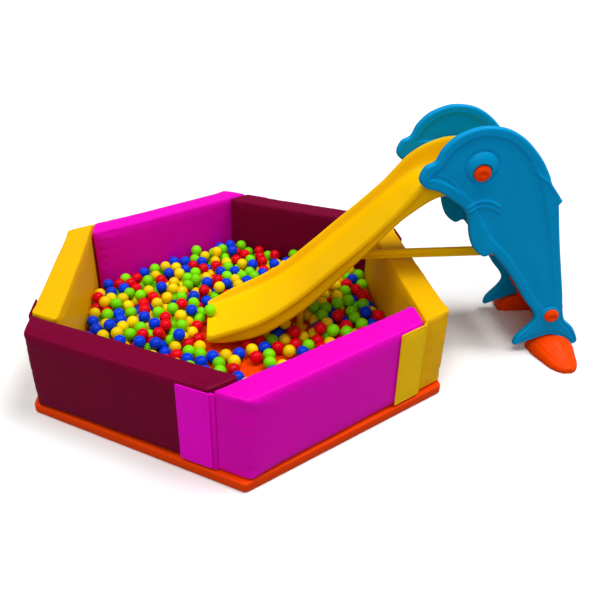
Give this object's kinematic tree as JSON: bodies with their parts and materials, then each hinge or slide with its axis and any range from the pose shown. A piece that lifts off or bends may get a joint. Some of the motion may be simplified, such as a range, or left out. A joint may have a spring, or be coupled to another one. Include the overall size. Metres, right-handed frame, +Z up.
{
  "type": "ball pit with slide",
  "caption": "Hexagonal soft-play ball pit of padded vinyl blocks on a mat, filled with play balls, with a free-standing dolphin-panel slide whose chute runs over one wall into the balls.",
  "frame": {"origin": "centre of the pit on the floor, under the middle of the mat", "axes": "+X from the pit's centre to the middle of the right wall, roughly along the slide's chute; +Y to the back corner; +Z up"},
  "size_m": [2.8957, 2.31, 1.259],
  "materials": {
    "vinyl_magenta": "satin vinyl-coated fabric",
    "vinyl_maroon": "satin vinyl-coated fabric",
    "vinyl_yellow": "satin vinyl-coated fabric",
    "vinyl_orange": "satin vinyl-coated fabric",
    "foam": "open-cell foam",
    "tape": "woven tape",
    "play_balls": "thin blown plastic",
    "plastic_blue": "satin moulded plastic",
    "plastic_yellow": "satin moulded plastic",
    "plastic_orange": "satin moulded plastic"
  },
  "bodies": {
    "pit": {"mat_base_sheet": "vinyl_orange", "mat_foam": "foam", "mat_cover": "vinyl_orange", "wall_cover_front_left": "vinyl_maroon", "wall_cover_front_right": "vinyl_magenta", "wall_cover_right": "vinyl_yellow", "wall_cover_back_right": "vinyl_maroon", "wall_cover_back_left": "vinyl_magenta", "wall_cover_left": "vinyl_yellow", "wall_foam_front_left": "foam", "wall_foam_front_right": "foam", "wall_foam_right": "foam", "wall_foam_back_right": "foam", "wall_foam_back_left": "foam", "wall_foam_left": "foam", "wall_zip_front_left": "tape", "wall_zip_front_right": "tape", "wall_zip_right": "tape", "wall_zip_back_right": "tape", "wall_zip_back_left": "tape", "wall_zip_left": "tape", "loop_strip_front_left": "tape", "loop_strip_front_right": "tape", "loop_strip_right": "tape", "loop_strip_back_right": "tape", "loop_strip_back_left": "tape", "loop_strip_left": "tape", "ball_filling": "play_balls"},
    "flap_front_left": {"closure_flap_front_left": "vinyl_maroon", "hook_strip_front_left": "tape"},
    "flap_front_right": {"closure_flap_front_right": "vinyl_magenta", "hook_strip_front_right": "tape"},
    "flap_right": {"closure_flap_right": "vinyl_yellow", "hook_strip_right": "tape"},
    "flap_back_right": {"closure_flap_back_right": "vinyl_maroon", "hook_strip_back_right": "tape"},
    "flap_back_left": {"closure_flap_back_left": "vinyl_magenta", "hook_strip_back_left": "tape"},
    "flap_left": {"closure_flap_left": "vinyl_yellow", "hook_strip_left": "tape"},
    "slide": {"side_panel_near": "plastic_blue", "side_panel_far": "plastic_blue", "chute": "plastic_yellow", "deck": "plastic_yellow", "step_low": "plastic_orange", "step_high": "plastic_orange", "base_step": "plastic_orange", "chute_leg": "plastic_yellow", "brace_bar": "plastic_yellow", "cross_tube": "plastic_yellow"},
    "eye_bolt_near": {"eye_bolt_near": "plastic_orange"},
    "eye_bolt_far": {"eye_bolt_far": "plastic_orange"},
    "tail_bolt_near": {"tail_bolt_near": "plastic_orange"},
    "tail_bolt_far": {"tail_bolt_far": "plastic_orange"}
  },
  "joints": [
    {"name": "flap_hinge_front_left", "type": "hinge", "parent": "pit", "child": "flap_front_left", "pos_m": [-1.0074, -0.40414, 0.25], "axis": [0, 0, 1], "range_deg": [0, 150]},
    {"name": "flap_hinge_front_right", "type": "hinge", "parent": "pit", "child": "flap_front_right", "pos_m": [-0.1537, -1.07451, 0.25], "axis": [0, 0, 1], "range_deg": [0, 150]},
    {"name": "flap_hinge_right", "type": "hinge", "parent": "pit", "child": "flap_right", "pos_m": [0.8537, -0.67036, 0.25], "axis": [0, 0, 1], "range_deg": [0, 150]},
    {"name": "flap_hinge_back_right", "type": "hinge", "parent": "pit", "child": "flap_back_right", "pos_m": [1.0074, 0.40414, 0.25], "axis": [0, 0, 1], "range_deg": [0, 150]},
    {"name": "flap_hinge_back_left", "type": "hinge", "parent": "pit", "child": "flap_back_left", "pos_m": [0.1537, 1.07451, 0.25], "axis": [0, 0, 1], "range_deg": [0, 150]},
    {"name": "flap_hinge_left", "type": "hinge", "parent": "pit", "child": "flap_left", "pos_m": [-0.8537, 0.67036, 0.25], "axis": [0, 0, 1], "range_deg": [0, 150]},
    {"name": "slide_lift", "type": "slide", "parent": "pit", "child": "slide", "axis": [0, 0, 1], "range_m": [0, 0.5]},
    {"name": "eye_bolt_near_turn", "type": "hinge", "parent": "slide", "child": "eye_bolt_near", "pos_m": [1.17859, -0.27837, 1.041], "axis": [-0.0366, -0.9993, 0], "continuous": true},
    {"name": "eye_bolt_far_turn", "type": "hinge", "parent": "slide", "child": "eye_bolt_far", "pos_m": [1.19581, 0.19131, 1.041], "axis": [0.0366, 0.9993, 0], "continuous": true},
    {"name": "tail_bolt_near_turn", "type": "hinge", "parent": "slide", "child": "tail_bolt_near", "pos_m": [1.67426, -0.29655, 0.234], "axis": [-0.0366, -0.9993, 0], "continuous": true},
    {"name": "tail_bolt_far_turn", "type": "hinge", "parent": "slide", "child": "tail_bolt_far", "pos_m": [1.69148, 0.17313, 0.234], "axis": [0.0366, 0.9993, 0], "continuous": true}
  ]
}
